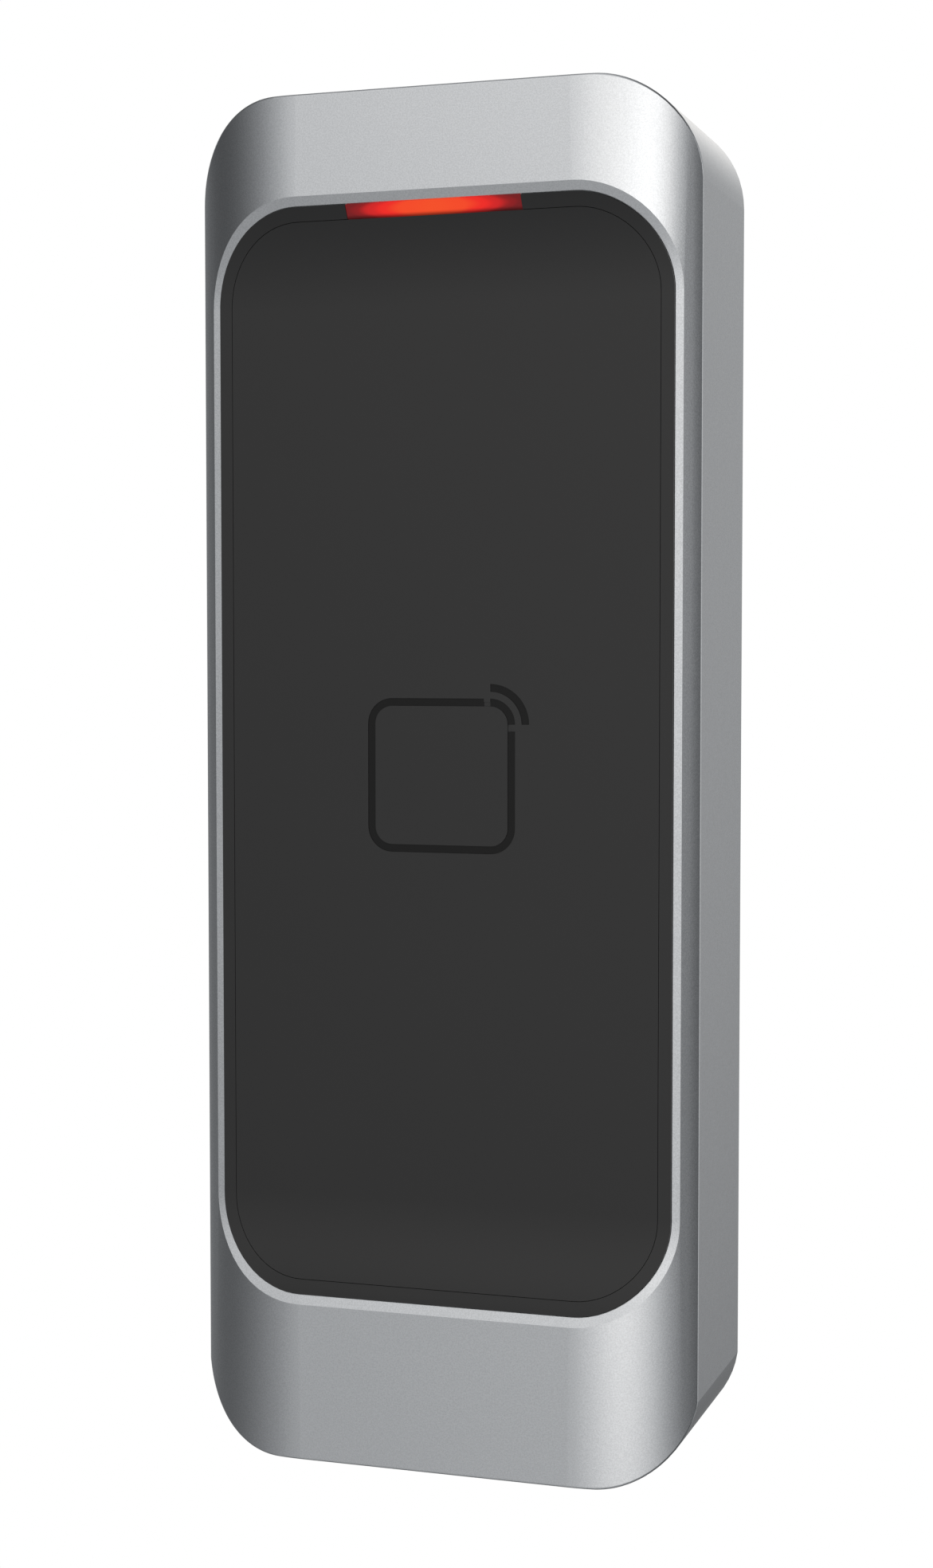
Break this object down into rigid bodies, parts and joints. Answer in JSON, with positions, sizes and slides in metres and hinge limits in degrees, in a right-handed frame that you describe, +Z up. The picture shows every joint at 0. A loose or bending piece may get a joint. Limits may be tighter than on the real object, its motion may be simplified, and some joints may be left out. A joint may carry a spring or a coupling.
{
  "type": "rfid card reader",
  "caption": "Slim wall-mounted contactless card reader: crowned metal frame, black scooped panel with a light bar, rear cover, wall plate with hooks and lock screw.",
  "frame": {"origin": "middle of the wall plate's screw pattern, on the wall plane", "axes": "+Z up along the reader's length, -Y out of the wall towards the user, +X to the user's right"},
  "size_m": [0.05, 0.0234, 0.1316],
  "materials": {
    "frame_metal": "fine blasted satin silver",
    "panel_black": "satin black",
    "ring_black": "satin black",
    "light_red": "lit light guide",
    "gasket_black": "soft foam",
    "board_green": "solder mask over glass fibre",
    "copper": "bare copper track",
    "ferrite_grey": "dull sheet",
    "chip_black": "moulded package",
    "can_metal": "drawn can",
    "part_tan": "ceramic chip body",
    "led_body": "clear resin on white body",
    "terminal_green": "moulded",
    "pin_brass": "gold flashed",
    "cover_black": "fine spark-eroded texture",
    "seal_rubber": "silicone",
    "switch_grey": "moulded",
    "plunger_white": "acetal",
    "screw_steel": "zinc plated",
    "plate_steel": "zinc plated sheet"
  },
  "bodies": {
    "wall_plate": {"wall_plate": "plate_steel"},
    "reader": {"front_housing": "frame_metal", "bezel_ring": "ring_black", "front_panel": "panel_black", "light_guide": "light_red", "panel_gasket": "gasket_black", "antenna_board": "board_green", "antenna_coil": "copper", "ferrite_sheet": "ferrite_grey", "antenna_header": "chip_black", "main_board": "board_green", "microcontroller": "chip_black", "reader_chip": "chip_black", "crystal": "can_metal", "buzzer": "chip_black", "power_inductor": "ferrite_grey", "capacitors": "can_metal", "voltage_regulator": "chip_black", "chip_parts": "part_tan", "indicator_leds": "led_body", "terminal_shroud": "terminal_green", "terminal_pins": "pin_brass", "tamper_switch": "switch_grey", "rear_cover": "cover_black", "rear_seal": "seal_rubber", "rear_cover_screws": "screw_steel", "board_screws": "screw_steel"},
    "lock_screw": {"lock_screw": "screw_steel"},
    "tamper_plunger": {"tamper_plunger": "plunger_white"},
    "terminal_plug": {"terminal_plug": "terminal_green", "plug_contacts": "pin_brass"}
  },
  "joints": [
    {"name": "reader_tilt", "type": "hinge", "parent": "wall_plate", "child": "reader", "pos_m": [0, -0.00365, 0.06395], "axis": [-1, 0, 0], "range_deg": [0, 20]},
    {"name": "lock_screw_travel", "type": "slide", "parent": "wall_plate", "child": "lock_screw", "axis": [0, 0, -1], "range_m": [0, 0.0024]},
    {"name": "tamper_press", "type": "slide", "parent": "reader", "child": "tamper_plunger", "axis": [0, -1, 0], "range_m": [0, 0.0014], "stiffness_N_per_m": 300},
    {"name": "terminal_pull", "type": "slide", "parent": "reader", "child": "terminal_plug", "axis": [0, 1, 0], "range_m": [0, 0.008]}
  ]
}
